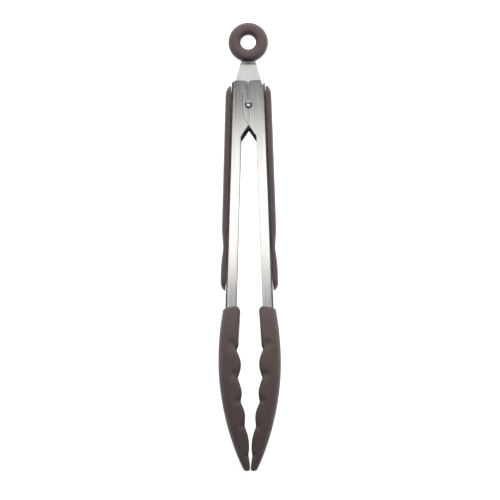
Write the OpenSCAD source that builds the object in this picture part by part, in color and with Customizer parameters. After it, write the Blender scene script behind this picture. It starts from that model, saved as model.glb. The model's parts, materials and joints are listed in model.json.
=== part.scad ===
// Spring loaded kitchen tongs, lying flat, closed and locked with the pull tab out.
// X is the way the arms open, Y runs from the tips to the hanging ring, Z is the depth.
// Each side is drawn once as the right side. The left side is the same piece turned half round Y.

/* [Overall] */
// Pivot to the tips
tip_reach = 216.2; // [180:0.1:260]
// Pivot to the centre of the hanging ring, with the tab pulled out
ring_reach = 40.6; // [39:0.1:46]
// Angle of each arm off the midline when the tongs are closed
splay = 1.83; // [1.2:0.01:2.4]

/* [Steel arms] */
// Thickness of the steel sheet
sheet = 0.8; // [0.6:0.05:1]
// Depth of one channel, front to back
arm_depth = 21.1; // [18:0.1:26]
// Pivot to the outer face of the channel's web
arm_edge = 10.65; // [10:0.05:12.8]
// Width of a flange along the handle
flange_w = 6.7; // [5.5:0.1:8.1]
// Height of the arms above the pivot
arm_top = 14.8; // [13:0.1:16]
// Reach of the pivot lobe past the midline
lobe_reach = 3.8; // [3:0.1:4.6]
// Drop of the pivot lobe below the pivot
lobe_drop = 8.3; // [7:0.1:10]
// Drop below the pivot at which the lobe has narrowed to the flange
throat_drop = 19; // [17:0.1:23]
// Width of the relief cut between flange and web at the top
relief_w = 0.6; // [0.4:0.1:0.8]
// Depth of the relief cut
relief_h = 3; // [2:0.1:4]
// Width of the sloping corner of the rear flange
corner_w = 2.6; // [1.5:0.1:3]
// Length of steel that is buried in the head
steel_in_head = 16; // [12:0.5:19]

/* [Pivot] */
// Radius of the pivot pin
pin_r = 1.5; // [1.2:0.05:1.8]
// Radius of the pin's domed heads
pin_head_r = 2.4; // [2.2:0.1:3]
// Height of the domed heads
pin_head_h = 1.2; // [0.8:0.1:1.4]
// Radius of the washer under the rear head
washer_r = 3.3; // [3.1:0.1:4]
// Thickness of the washer
washer_t = 0.6; // [0.5:0.1:0.8]
// Wall of the bush on the pin
bush_wall = 1.4; // [1:0.1:1.6]

/* [Spring] */
// Radius of the spring wire
wire_r = 0.6; // [0.5:0.05:0.7]
// Number of coils
coils = 7; // [4:1:8]
// Length of a spring leg below the pivot
leg_drop = 24; // [20:0.5:28]

/* [Lock tab] */
// Travel of the tab between locked and open
tab_travel = 12; // [11:0.1:12.5]
// Half width of the tab at its widest, which blocks the arms
tab_half_w = 9.1; // [8.6:0.05:9.2]
// Height above the pivot of the tab's widest place
tab_wide_y = 10; // [9:0.1:10.2]
// Angle of the tab's sloping sides off the midline
tab_slope = 14.2; // [12:0.1:17]
// Half depth of the tab's neck, where the ring holds it
tab_neck_z = 1.2; // [1.2:0.1:2.6]

/* [Hanging ring] */
// Outer radius of the ring
ring_r = 12.1; // [11:0.1:13]
// Radius of the ring's hole
ring_hole_r = 4.7; // [4:0.1:5]
// Thickness of the ring
ring_t = 8; // [7.4:0.1:9.5]
// Thickness of the soft skin on the ring
ring_skin = 1; // [0.8:0.1:1.2]

/* [Hand grips] */
// Height of the grip's top above the pivot
grip_top = 12.6; // [9:0.1:13]
// Drop of the grip's lower end below the pivot
grip_drop = 110.5; // [90:0.5:113]
// Thickness of the grip
grip_t = 3.45; // [2.8:0.05:4.5]
// Width of the grip
grip_w = 20; // [17:0.1:21]
// Depth of the finger hollow near the grip's lower end
hollow_deep = 1.1; // [0.6:0.1:1.4]
// Distance of the finger hollow from the lower end
hollow_up = 25; // [20:0.5:30]
// Thickness of the hard carrier under the soft grip
carrier_t = 1.1; // [0.8:0.1:1.4]
// Radius of the carrier's pegs
peg_r = 1.5; // [1.2:0.1:2]
// Radius of the push-on clips that hold the pegs
clip_r = 3; // [2.6:0.1:3.6]
// Thickness of the clips
clip_t = 0.8; // [0.6:0.1:1]

/* [Heads] */
// Length of a head
head_len = 96.2; // [80:0.1:105]
// Greatest depth of a head, front to back
head_depth = 34; // [30:0.5:38]
// Midline to the widest place of a head
head_half_w = 18.3; // [17:0.1:20]
// Thickness of the silicone
skin_t = 1.4; // [1:0.1:1.6]
// Thickness of the hard core's wall
core_t = 1.6; // [1.2:0.1:2]
// Spacing of the lobes along the rim
lobe_pitch = 15.5; // [14:0.1:16.5]
// How far the notches wander from even spacing
lobe_drift = 1.3; // [0:0.1:1.6]
// Drop of the first rim notch below the head's top
first_notch = 25.1; // [23:0.1:27]
// Depth of the notches between lobes
notch_deep = 2.5; // [1.2:0.1:2.6]
// How far the rim leans out from the head's top to the first notch
rim_lean = 1.6; // [0:0.1:2]
// Midline to the crest of the first lobe
crest_x = 5.5; // [5:0.1:6.4]
// Radius of the rivets that hold the head's core
rivet_r = 1.5; // [1.2:0.1:1.8]

/* [Hidden] */
$fn = 48;

STEEL = [0.78, 0.77, 0.75];
DARK = [0.36, 0.31, 0.31];
CORE = [0.24, 0.21, 0.21];

eps = 0.01;
run_gap = 0.05; // radial play of a pin in its hole
head_gap = 0.03; // under each head of the pin
layer_gap = 0.1; // between two overlapping flanges
tab_gap = 0.2; // between the tab and the flanges
fit_gap = 0.05; // round a piece that is pressed into a hole
tip_gap = 0.15; // midline to each tip
far = 60; // longer than any cut

// Origin: middle of the length, on the surface that the heads lie on.
pivot_y = (tip_reach - ring_reach - ring_r) / 2;
lift = head_depth / 2;

// A channel sits half a layer forward of the middle, so its twin turned round sits half a layer back.
layer = (sheet + layer_gap) / 2;
arm_front = arm_depth / 2 + layer;
arm_back = -arm_depth / 2 + layer;
web_in = arm_edge - sheet;
flange_in = arm_edge - flange_w;
head_top = tip_reach - head_len;
steel_end = head_top + steel_in_head;

// ---- outlines ----

function arc(cx, cy, r, from, to, n = 8) =
    [for (i = [0 : n]) let (a = from + (to - from) * i / n) [cx + r * cos(a), cy + r * sin(a)]];

function bezier(a, b, c, d, t) =
    a * pow(1 - t, 3) + 3 * b * t * pow(1 - t, 2) + 3 * c * t * t * (1 - t) + d * pow(t, 3);

function curve(a, b, c, d, n) = [for (i = [0 : n]) bezier(a, b, c, d, i / n)];

// ---- placing ----

// From the pivot's own place to the part's frame; the left side is turned half round Y.
module at_pivot(side = 1)
    translate([0, pivot_y, lift]) rotate([0, side > 0 ? 0 : 180, 0]) children();

// The same, leaned out with the arm.
module at_arm(side)
    at_pivot(side) rotate([0, 0, splay]) children();

// ---- steel arms ----

chamfer = 5; // slope of the lobe's upper corner
hump_in = 3; // midline to the inner end of the arm's flat top

web_top = arm_top - relief_h / 2;

// The front flange is cut free of the web at its top; the rear one slopes down to it instead.
module flange_outline(front)
    polygon(concat(
        [[arm_edge, -steel_end], [arm_edge, web_top]],
        front ? arc(arm_edge - 2.4, arm_top - 2.2, 2.2, 30, 90, 4) : [[arm_edge - corner_w, arm_top]],
        arc(hump_in, arm_top - 3, 3, 90, 125, 4),
        arc(-lobe_reach + chamfer, arm_top - chamfer - 3.5, chamfer, 135, 180, 5),
        arc(-lobe_reach + 1.5, -lobe_drop + 2, 1.5, 180, 215, 3),
        [[flange_in, -throat_drop], [flange_in, -steel_end]]
    ));

module peg_places()
    for (s = [0.32, 0.57, 0.82])
        translate([0, -grip_drop * s, layer]) rotate([0, 90, 0]) children();

rivet_span = steel_in_head / 2;

module rivet_places()
    for (s = [-rivet_span / 2, rivet_span / 2])
        translate([0, -(head_top + steel_in_head / 2 + s), layer]) rotate([0, 90, 0]) children();

module arm_piece()
    difference() {
        union() {
            translate([0, 0, arm_front - sheet]) linear_extrude(sheet) flange_outline(true);
            translate([0, 0, arm_back]) linear_extrude(sheet) flange_outline(false);
            translate([web_in, -steel_end, arm_back])
                cube([sheet, steel_end + web_top, arm_depth]);
        }
        cylinder(r = pin_r + run_gap, h = far, center = true);
        translate([web_in - relief_w, arm_top - relief_h, 0]) cube([relief_w, far, far]);
        peg_places() cylinder(r = peg_r + run_gap, h = arm_edge + far);
        rivet_places() cylinder(r = rivet_r + fit_gap, h = arm_edge + far);
    }

module arm_left() color(STEEL) at_arm(-1) arm_piece();
module arm_right() color(STEEL) at_arm(1) arm_piece();

// ---- hand grips ----

grip_steps = 40;
grip_round = 4.5; // length of the rounded ends
carrier_in = 5; // carrier's edge inside the grip's edge
hollow_s = grip_drop - hollow_up;
hollow_w = 7;

// Thickness of the grip at a drop s below the pivot: rounded ends and one finger hollow.
function end_round(d) = let (k = min(1, d / grip_round)) sqrt(max(0, 1 - pow(1 - k, 2)));
function grip_at(s) =
    (grip_t - hollow_deep * exp(-pow((s - hollow_s) / hollow_w, 2)))
    * end_round(s + grip_top) * end_round(grip_drop - s);

module grip_outline()
    polygon(concat(
        [for (i = [0 : grip_steps]) let (s = -grip_top + (grip_top + grip_drop) * i / grip_steps)
            [arm_edge + grip_at(s), -s]],
        [[arm_edge, -grip_drop], [arm_edge, grip_top]]
    ));

// Cross-section across the web, with rounded outer edges.
grip_edge_r = 2.2;
module grip_section()
    polygon(concat(
        [[0, -grip_w / 2], [arm_edge, -grip_w / 2]],
        arc(arm_edge + grip_t - grip_edge_r, -grip_w / 2 + grip_edge_r, grip_edge_r, -90, 0, 5),
        arc(arm_edge + grip_t - grip_edge_r, grip_w / 2 - grip_edge_r, grip_edge_r, 0, 90, 5),
        [[arm_edge, grip_w / 2], [0, grip_w / 2]]
    ));

module carrier_plate()
    translate([arm_edge, -grip_drop + carrier_in, layer - grip_w / 2 + carrier_in / 2])
        cube([carrier_t, grip_top + grip_drop - 2 * carrier_in, grip_w - carrier_in]);

module grip_piece()
    difference() {
        intersection() {
            translate([0, 0, layer - far / 2]) linear_extrude(far) grip_outline();
            translate([0, -grip_drop - far, layer]) rotate([-90, 0, 0])
                linear_extrude(grip_drop + grip_top + 2 * far) grip_section();
        }
        carrier_plate();
    }

peg_end = web_in - clip_t - 0.6;
module carrier_piece() {
    carrier_plate();
    peg_places() translate([0, 0, peg_end]) cylinder(r = peg_r, h = arm_edge + eps - peg_end);
}

module clips_piece()
    peg_places() translate([0, 0, web_in - clip_t]) difference() {
        cylinder(r = clip_r, h = clip_t);
        translate([0, 0, -1]) cylinder(r = peg_r, h = clip_t + 2);
    }

module grip_left() color(DARK) at_arm(-1) grip_piece();
module grip_right() color(DARK) at_arm(1) grip_piece();
module grip_carrier_left() color(CORE) at_arm(-1) carrier_piece();
module grip_carrier_right() color(CORE) at_arm(1) carrier_piece();
module grip_clips_left() color(STEEL) at_arm(-1) clips_piece();
module grip_clips_right() color(STEEL) at_arm(1) clips_piece();

// ---- heads ----

side_steps = 48;
plan_steps = 24;
widest_u = 0.34 * head_len;
crest_bend = 0.485 * head_len;
crest_slope = (crest_x - 0.4) / (0.86 * head_len - crest_bend);
tip_w = 3.6;
tip_half_d = 4.5;
neck_x = 15.5 + (arm_edge - 10.65);
neck_half_d = max(arm_front, -arm_back) + 1.4;

// Outer edge of a head: drop below the head's top, distance off the midline.
back_curve = concat(
    curve([0, neck_x], [11, head_half_w - 1.1], [widest_u - 11, head_half_w], [widest_u, head_half_w], 12),
    curve([widest_u, head_half_w], [widest_u + 25, head_half_w],
        [head_len - 14, tip_w + 7.2], [head_len, tip_w], 24));

// Half depth of a head along the same way.
plan_curve = concat(
    curve([0, neck_half_d], [10, neck_half_d + 1], [widest_u - 12, head_depth / 2],
        [widest_u, head_depth / 2], 12),
    curve([widest_u, head_depth / 2], [widest_u + 24, head_depth / 2],
        [head_len - 14, tip_half_d + 5], [head_len, tip_half_d], 24));

function back_x(u) = lookup(u, back_curve);
function half_d(u) = lookup(u, plan_curve);

// The rim: a crest line that falls to the tip, with rounded notches cut into it. notch_no counts the
// notches down the rim: a whole number at each notch, a half at each crest.
notch_soft = 0.03;
notch_fade = 0.62;
last_notch = 4;
function crest_at(u) = max(tip_gap, crest_x - crest_slope * max(0, u - crest_bend));
function notch_no(u) =
    let (i = (u - first_notch) / lobe_pitch) i - lobe_drift / lobe_pitch * sin(90 * max(0, i));
function notch_at(u) =
    let (i = notch_no(u), wave = sin(180 * i), fade = 1 - notch_fade * pow(max(0, i) / last_notch, 0.6))
    i < -0.5 || i > last_notch + 0.5 ? 0
    : notch_deep * fade * (1 - sqrt((wave * wave + notch_soft) / (1 + notch_soft)));
function lean_at(u) = u < first_notch ? rim_lean * u / first_notch : 0;
function rim_x(u) = crest_at(u) + max(notch_at(u), lean_at(u));

module head_side(inset)
    polygon(concat(
        [for (i = [0 : side_steps]) let (u = head_len * i / side_steps)
            [max(back_x(u) - inset, rim_x(u) + inset + 0.2), -head_top - u]],
        [for (i = [side_steps : -1 : 0]) let (u = head_len * i / side_steps)
            [rim_x(u) + inset, -head_top - u]]
    ));

// Depth outline, drawn in Z and Y and run along X.
module head_plan(inset)
    polygon(concat(
        [for (i = [0 : plan_steps]) let (u = head_len * i / plan_steps)
            [-half_d(u) + inset, -head_top - u]],
        [for (i = [plan_steps : -1 : 0]) let (u = head_len * i / plan_steps)
            [half_d(u) - inset, -head_top - u]]
    ));

module along_x(from, to)
    translate([from, 0, 0]) rotate([0, 90, 0]) linear_extrude(to - from) children();

// Slab across everything between two drops below the head's top.
module band(u_from, u_to)
    translate([-far / 2, -head_top - u_to, -far / 2]) cube([far, u_to - u_from, far]);

module head_body(inset)
    intersection() {
        translate([0, 0, -far / 2]) linear_extrude(far) head_side(inset);
        along_x(-far / 2, far / 2) head_plan(inset);
        band(0, head_len - inset);
    }

// The scoop, cut from the midline outwards; wall is what stays outside it.
scoop_top = 22;
scoop_end = head_len - 13;
scoop_steps = 24;
module head_scoop(wall, grow)
    intersection() {
        translate([0, 0, -far / 2]) linear_extrude(far) polygon(concat(
            [for (i = [0 : scoop_steps])
                let (u = scoop_top - grow + (scoop_end - scoop_top + 2 * grow) * i / scoop_steps)
                [back_x(u) - wall, -head_top - u]],
            [[-1, -head_top - scoop_end - grow], [-1, -head_top - scoop_top + grow]]));
        along_x(-far / 2, far / 2) head_plan(wall);
    }

// The space that the end of the channel takes up in the head.
module steel_space()
    rotate([0, 0, splay]) translate([flange_in, -steel_end, arm_back])
        cube([flange_w, steel_end - head_top + far, arm_depth]);

rivet_head_r = rivet_r * 1.8;
rivet_head_h = 0.8;
plug_top = 2;

module rivets_piece()
    rotate([0, 0, splay]) rivet_places() {
        translate([0, 0, flange_in + 2]) cylinder(r = rivet_r, h = arm_edge - flange_in - 2 + eps);
        translate([0, 0, arm_edge]) cylinder(r = rivet_head_r, h = rivet_head_h);
    }

module core_scoop()
    difference() {
        intersection() {
            head_body(skin_t);
            band(steel_in_head, head_len);
        }
        head_scoop(skin_t + core_t, skin_t);
        steel_space();
    }

module core_piece()
    difference() {
        union() {
            core_scoop();
            intersection() {
                rotate([0, 0, splay]) translate([flange_in, -steel_end - 3, arm_back + sheet + fit_gap])
                    cube([web_in - fit_gap - flange_in, steel_in_head + 3 - plug_top,
                        arm_depth - 2 * sheet - 2 * fit_gap]);
                head_body(skin_t);
            }
        }
        rotate([0, 0, splay]) rivet_places() translate([0, 0, flange_in + 2])
            cylinder(r = rivet_r, h = far);
    }

module head_piece()
    difference() {
        head_body(0);
        head_scoop(2 * skin_t + core_t, 0);
        core_scoop();
        steel_space();
        core_piece();
        rivets_piece();
    }

module head_left() color(DARK) at_pivot(-1) head_piece();
module head_right() color(DARK) at_pivot(1) head_piece();
module head_core_left() color(CORE) at_pivot(-1) core_piece();
module head_core_right() color(CORE) at_pivot(1) core_piece();
module head_rivets_left() color(STEEL) at_pivot(-1) rivets_piece();
module head_rivets_right() color(STEEL) at_pivot(1) rivets_piece();

// ---- pivot ----

tab_out_z = arm_front - 2 * sheet - layer_gap - tab_gap;
tab_in_z = tab_out_z - sheet;
tab_bend_y = arm_top - 1.6; // the fold stays under the arms
tab_neck_y = ring_reach - ring_r - 0.4;
tab_lean = (tab_out_z - tab_neck_z) / (tab_neck_y - tab_bend_y);
stack_z = max(arm_front, -arm_back);

// The bush stops short of the tab's sloping plates when the tab is pushed in.
bush_r = pin_r + run_gap + bush_wall;
bush_half = tab_in_z - 0.1 - max(0, tab_travel + bush_r - tab_bend_y) * tab_lean;

// A dome of radius r and height h, standing on z = 0.
module dome(r, h) {
    ball_r = (r * r + h * h) / (2 * h);
    intersection() {
        translate([0, 0, h - ball_r]) sphere(r = ball_r);
        cylinder(r = r + 1, h = h);
    }
}

pin_front = stack_z + head_gap;
pin_back = stack_z + washer_t + 2 * head_gap;

module pivot_pin()
    color(STEEL) at_pivot() {
        translate([0, 0, -pin_back - eps]) cylinder(r = pin_r, h = pin_front + pin_back + 2 * eps);
        translate([0, 0, pin_front]) dome(pin_head_r, pin_head_h);
        translate([0, 0, -pin_back]) mirror([0, 0, 1]) dome(pin_head_r, pin_head_h);
    }

module pivot_washer()
    color(STEEL) at_pivot() translate([0, 0, -stack_z - head_gap - washer_t]) difference() {
        cylinder(r = washer_r, h = washer_t);
        translate([0, 0, -1]) cylinder(r = pin_r + run_gap, h = washer_t + 2);
    }

module pivot_bush()
    color(CORE) at_pivot() difference() {
        cylinder(r = bush_r, h = 2 * bush_half, center = true);
        cylinder(r = pin_r + run_gap, h = far, center = true);
    }

// ---- spring ----

coil_r = bush_r + 0.4 + wire_r;
coil_pitch = 1.9 * wire_r;
coil_half = coil_pitch * (coils - 1) / 2;

// A leg from the coil's side to the inner face of an arm's web.
leg_x = web_in * cos(splay) + leg_drop * tan(splay) - wire_r - 0.15;
module spring_leg(side)
    translate([side * coil_r, 0, -side * coil_half])
        rotate([0, 0, side * atan((leg_x - coil_r) / leg_drop)])
            rotate([90, 0, 0]) cylinder(r = wire_r, h = leg_drop);

module torsion_spring()
    color(STEEL) at_pivot() {
        rotate_extrude() for (i = [0 : coils - 1])
            translate([coil_r, i * coil_pitch - coil_half]) circle(r = wire_r, $fn = 24);
        spring_leg(1);
        spring_leg(-1);
    }

// ---- lock tab and ring ----

// The tab is one strip folded double: two plates on the pin, drawn in to the neck that the ring holds.
tab_low = -4.6;
tab_low_half = 5.2;
tab_end_y = ring_reach - ring_hole_r - 1.6;

function tab_half(y) = tab_half_w - (y - tab_wide_y) * tan(tab_slope);

module tab_front()
    polygon([
        [-tab_low_half, tab_low], [tab_low_half, tab_low],
        [tab_half_w, tab_wide_y - 2], [tab_half_w, tab_wide_y], [tab_half(tab_end_y), tab_end_y],
        [-tab_half(tab_end_y), tab_end_y], [-tab_half_w, tab_wide_y], [-tab_half_w, tab_wide_y - 2]
    ]);

// Half of the folded strip's side view, in Z and Y, at a distance in from its outer face.
module tab_side(inset)
    polygon([
        [-tab_out_z + inset, tab_low - inset], [-tab_out_z + inset, tab_bend_y],
        [-tab_neck_z + inset, tab_neck_y], [-tab_neck_z + inset, tab_end_y - inset],
        [tab_neck_z - inset, tab_end_y - inset], [tab_neck_z - inset, tab_neck_y],
        [tab_out_z - inset, tab_bend_y], [tab_out_z - inset, tab_low - inset]
    ]);

module tab_strip()
    intersection() {
        translate([0, 0, -far / 2]) linear_extrude(far) tab_front();
        along_x(-far / 2, far / 2) difference() {
            tab_side(0);
            tab_side(sheet);
        }
    }

slot_r = pin_r + run_gap;
module lock_tab()
    color(STEEL) at_pivot() difference() {
        tab_strip();
        cylinder(r = slot_r, h = far, center = true);
        translate([0, tab_travel, 0]) cylinder(r = slot_r, h = far, center = true);
        translate([-slot_r, 0, -far / 2]) cube([2 * slot_r, tab_travel, far]);
    }

hole_edge_r = 2.6;
ring_edge_r = 3.4;

// A round ring's section with rounded edges, between two radii.
module ring_section(r_in, r_out, t, edge_in, edge_out)
    polygon(concat(
        arc(r_out - edge_out, -t / 2 + edge_out, edge_out, -90, 0),
        arc(r_out - edge_out, t / 2 - edge_out, edge_out, 0, 90),
        arc(r_in + edge_in, t / 2 - edge_in, edge_in, 90, 180),
        arc(r_in + edge_in, -t / 2 + edge_in, edge_in, 180, 270)
    ));

module ring_core_space()
    translate([0, ring_reach, 0]) difference() {
        cylinder(r = ring_r - ring_skin - 0.6, h = ring_t - 2 * ring_skin, center = true);
        cylinder(r = ring_hole_r + ring_skin, h = far, center = true);
    }

module ring_core()
    color(CORE) at_pivot() difference() {
        ring_core_space();
        tab_strip();
    }

module hang_ring()
    color(DARK) at_pivot() difference() {
        translate([0, ring_reach, 0]) rotate_extrude($fn = 96)
            ring_section(ring_hole_r, ring_r, ring_t, hole_edge_r, ring_edge_r);
        ring_core_space();
        tab_strip();
    }

arm_left();
arm_right();
grip_left();
grip_right();
grip_carrier_left();
grip_carrier_right();
grip_clips_left();
grip_clips_right();
head_left();
head_right();
head_core_left();
head_core_right();
head_rivets_left();
head_rivets_right();
pivot_pin();
pivot_washer();
pivot_bush();
torsion_spring();
lock_tab();
ring_core();
hang_ring();
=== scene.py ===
"""Spring loaded kitchen tongs, laid flat and locked shut.

Each operator makes one piece, or a group of like pieces, round the packed frame. Lengths are in metres,
and mm() turns a maker's size into them. A side is built once as the right side, in its own space: the
pivot is the origin, X runs outwards and Y back to the ring. The left side is that piece turned half round.
"""

import json
import math

import bmesh
import bpy
import numpy as np
from bpy.props import FloatProperty, FloatVectorProperty, IntProperty, PointerProperty
from mathutils import Matrix, Vector


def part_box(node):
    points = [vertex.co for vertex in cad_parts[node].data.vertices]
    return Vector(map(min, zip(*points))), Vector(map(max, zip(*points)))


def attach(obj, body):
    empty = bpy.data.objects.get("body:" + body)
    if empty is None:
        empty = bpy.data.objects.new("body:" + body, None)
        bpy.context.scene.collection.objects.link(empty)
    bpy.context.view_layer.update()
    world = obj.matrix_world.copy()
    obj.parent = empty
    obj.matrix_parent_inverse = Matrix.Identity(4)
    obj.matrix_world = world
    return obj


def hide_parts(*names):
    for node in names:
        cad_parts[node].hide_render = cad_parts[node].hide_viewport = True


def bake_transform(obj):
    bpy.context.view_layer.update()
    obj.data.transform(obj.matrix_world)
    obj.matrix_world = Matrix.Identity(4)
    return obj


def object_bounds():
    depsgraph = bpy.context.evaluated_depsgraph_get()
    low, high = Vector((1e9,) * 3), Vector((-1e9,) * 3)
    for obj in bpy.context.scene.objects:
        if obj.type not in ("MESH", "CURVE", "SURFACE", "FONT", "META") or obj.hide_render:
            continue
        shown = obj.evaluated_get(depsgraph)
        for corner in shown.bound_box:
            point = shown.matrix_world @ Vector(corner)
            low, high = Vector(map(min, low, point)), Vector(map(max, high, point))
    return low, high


bl_info = {
    "name": "Kitchen tongs",
    "version": (1, 0, 0),
    "blender": (4, 5, 0),
    "location": "View3D > Sidebar > Tongs",
    "description": "Builds spring loaded kitchen tongs piece by piece",
    "category": "Add Mesh",
}

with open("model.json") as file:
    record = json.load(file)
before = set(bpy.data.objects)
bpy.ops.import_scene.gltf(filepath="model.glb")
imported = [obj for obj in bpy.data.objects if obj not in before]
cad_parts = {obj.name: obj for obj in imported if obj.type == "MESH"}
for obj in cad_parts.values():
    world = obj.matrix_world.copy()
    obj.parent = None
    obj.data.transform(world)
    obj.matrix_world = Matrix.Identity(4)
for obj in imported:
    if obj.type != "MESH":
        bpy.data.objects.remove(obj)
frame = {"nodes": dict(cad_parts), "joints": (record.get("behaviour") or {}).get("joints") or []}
CAD_LOW, CAD_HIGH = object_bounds()
SIDES = {"left": -1, "right": 1}
HINGE = next(j for j in frame["joints"] if j["name"] == "arm_right_hinge")
PIVOT = Vector(HINGE["pos_m"])


def mm(value):
    return value * 0.001


def length(label, default_mm, text):
    """A size in metres, given by the millimetres it defaults to."""
    return FloatProperty(
        name=label, description=text, default=mm(default_mm), min=0.0, unit="LENGTH", precision=5
    )


def spot(label, default_mm, text):
    """A place along an axis, which may be on either side of the origin."""
    return FloatProperty(name=label, description=text, default=mm(default_mm), unit="LENGTH", precision=5)


def swing(label, default_degrees, text):
    return FloatProperty(
        name=label, description=text, default=math.radians(default_degrees), subtype="ANGLE"
    )


def watts(label, default, text):
    return FloatProperty(name=label, description=text, default=default, min=0.0, unit="POWER")


def colour(label, default, text):
    return FloatVectorProperty(
        name=label, description=text, default=default, size=3, min=0.0, max=1.0, subtype="COLOR"
    )


# ---- settings ----


class ArmSizes(bpy.types.PropertyGroup):
    """The pressed steel channels."""

    sheet: length("Sheet", 0.8, "Thickness of the steel")
    edge: length("Edge", 10.65, "Pivot to the outer face of the web")
    flange: length("Flange", 6.7, "Width of a flange along the handle")
    top: length("Top", 14.8, "Height above the pivot")
    fold: length("Fold radius", 1.6, "Outer radius of the fold between web and flange")
    lobe_reach: length("Lobe reach", 3.8, "Reach of the pivot lobe past the midline")
    lobe_drop: length("Lobe drop", 8.3, "Drop of the pivot lobe below the pivot")
    throat: length("Throat", 19.0, "Drop at which the lobe has narrowed to the flange")
    relief: length("Relief", 3.0, "Depth of the cut between flange and fold at the top")
    corner: length("Corner", 2.6, "Width of the sloping corner of the rear flange")
    buried: length("Buried", 16.0, "Length of steel inside the head")
    round: length("Edge round", 0.32, "Rounding of the sheet's cut edges")
    splay: swing("Splay", 1.83, "Angle off the midline when shut")


class HeadSizes(bpy.types.PropertyGroup):
    """The silicone scoops."""

    neck: length("Neck", 15.5, "Midline to the outside of the head's top")
    crest: length("Crest", 5.5, "Midline to the crest of the first lobe")
    pitch: length("Lobe pitch", 15.5, "Spacing of the lobes")
    drift: length("Lobe drift", 1.3, "How far the notches wander from even spacing")
    first: length("First notch", 25.1, "Drop of the first notch below the head's top")
    notch: length("Notch", 2.9, "Depth of the notches")
    lean: length("Rim lean", 1.6, "How far the rim leans out from the head's top to the first notch")
    slant: length("Top slant", 1.3, "How far the head's top edge falls from its inner to its outer end")
    tip_half: length("Tip width", 3.6, "Width of each tip")
    tip_deep: length("Tip depth", 4.5, "Half depth of each tip")
    tip_gap: length("Tip gap", 0.2, "Midline to each tip")
    wall: length("Wall", 3.2, "Thickness of the side walls")
    back: length("Back", 4.2, "Thickness of the scoop's back")
    corner: length("Corner", 4.8, "Radius of the back's long edges")
    dimple: length("Dimple", 1.0, "Depth of the dimples beside the notches")
    ridge: length("Ridge", 0.45, "Height of the ridges across the scoop's floor")
    skin: length("Skin", 1.4, "Thickness of the silicone over the core")


class GripSizes(bpy.types.PropertyGroup):
    """The soft pads, their pegs and clips."""

    top: length("Top", 12.6, "Height of the pad's top above the pivot")
    drop: length("Drop", 110.5, "Drop of the pad's lower end below the pivot")
    thick: length("Thickness", 3.45, "Thickness of the pad")
    thin: length("Taper", 0.3, "How much thinner the pad is at its lower end")
    width: length("Width", 20.0, "Width of the pad")
    hollow: length("Hollow", 1.0, "Depth of the finger hollow")
    hollow_up: length("Hollow place", 25.0, "Finger hollow to the pad's lower end")
    hollow_long: length("Hollow length", 7.0, "Half length of the finger hollow")
    corner: length("Corner", 6.5, "Radius of the pad's corners, seen from the side")
    clip: length("Clip", 3.0, "Radius of the push-on clips")
    clip_thick: length("Clip thickness", 0.45, "Thickness of the clips' spring steel")
    peg: length("Peg", 1.5, "Radius of the pegs")
    first_peg: FloatProperty(name="First peg", description="As a share of the drop", default=0.32)
    peg_step: FloatProperty(name="Peg step", description="As a share of the drop", default=0.25)
    pegs: IntProperty(name="Pegs", description="Pegs on each side", default=3, min=1)


class RingSizes(bpy.types.PropertyGroup):
    """The hanging ring."""

    hole: length("Hole", 4.6, "Radius of the hole")
    hole_edge: length("Hole edge", 3.1, "Rounding of the hole's edge")
    outer_edge: length("Outer edge", 3.4, "Rounding of the ring's outside")
    seam: length("Seam", 0.08, "Height of the moulding line round the ring")


class PivotSizes(bpy.types.PropertyGroup):
    """The rivet and the spring."""

    pin: length("Pin", 1.5, "Radius of the pin")
    head: length("Head", 2.4, "Radius of the domed heads")
    dome: length("Dome", 1.2, "Height of the domed heads")
    flat: FloatProperty(name="Flatness", description="1 is a plain dome, less is flatter", default=0.78)
    wire: length("Wire", 0.6, "Radius of the spring wire")
    coil: length("Coil", 3.95, "Radius of the coil at the middle of the wire")
    coil_pitch: length("Coil pitch", 1.24, "Rise of the coil in a turn")
    leg: length("Leg", 24.0, "Drop of a spring leg to where it meets the arm")
    foot: length("Foot", 7.0, "Length of a leg that lies along the arm")
    turns: FloatProperty(name="Turns", description="Turns of the coil, ending half round", default=6.5)


class Finishes(bpy.types.PropertyGroup):
    """Colours, linear."""

    steel: colour("Steel", (0.66, 0.645, 0.63), "Brushed stainless steel")
    # painted highlight: the tab's steel is the arms' steel made lighter, standing in for the side light's
    # reflection on the tab's slope
    tab: colour("Tab steel", (0.72, 0.705, 0.69), "Pull tab")
    bright: colour("Bright steel", (0.72, 0.715, 0.71), "Rivet, washer, clips and spring")
    silicone: colour("Silicone", (0.139, 0.104, 0.1), "Heads")
    grip: colour("Grip", (0.135, 0.104, 0.1), "Soft pads")
    ring: colour("Ring", (0.15, 0.112, 0.112), "Hanging ring")
    core: colour("Core", (0.05, 0.045, 0.045), "Nylon cores, carriers and bush")
    floor: colour("Floor", (0.92, 0.92, 0.915), "Floor")


class StageSettings(bpy.types.PropertyGroup):
    """Camera and light."""

    camera_x: spot("Camera aside", 8.0, "Camera's place to the right of the midline")
    camera_y: spot("Camera along", -92.0, "Camera's place along Y")
    camera_z: spot("Camera height", 860.0, "Camera's height over the floor")
    view_w: length("View", 298.3, "Width that the picture takes in at the object")
    aim_x: spot("Aim aside", 0.4, "Where the camera looks, to the right of the midline")
    aim_y: spot("Aim along", -4.1, "Where the camera looks, along Y")
    roll: swing("Roll", -0.3, "Turn of the picture")
    key_power: watts("Key light", 0.4, "Power of the soft box overhead")
    side_power: watts("Side light", 8.4, "Power of the soft box past the ring")


GROUPS = {
    "tongs_arms": ArmSizes,
    "tongs_heads": HeadSizes,
    "tongs_grips": GripSizes,
    "tongs_ring": RingSizes,
    "tongs_pivot": PivotSizes,
    "tongs_finish": Finishes,
    "tongs_stage": StageSettings,
}

# ---- places ----


def side_space(side):
    """From a side's own space to the frame; the left side is turned half round Y."""
    turn = Matrix.Rotation(math.pi if side < 0 else 0.0, 4, "Y")
    return Matrix.Translation(PIVOT) @ turn


def arm_space(side, splay):
    return side_space(side) @ Matrix.Rotation(splay, 4, "Z")


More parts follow.
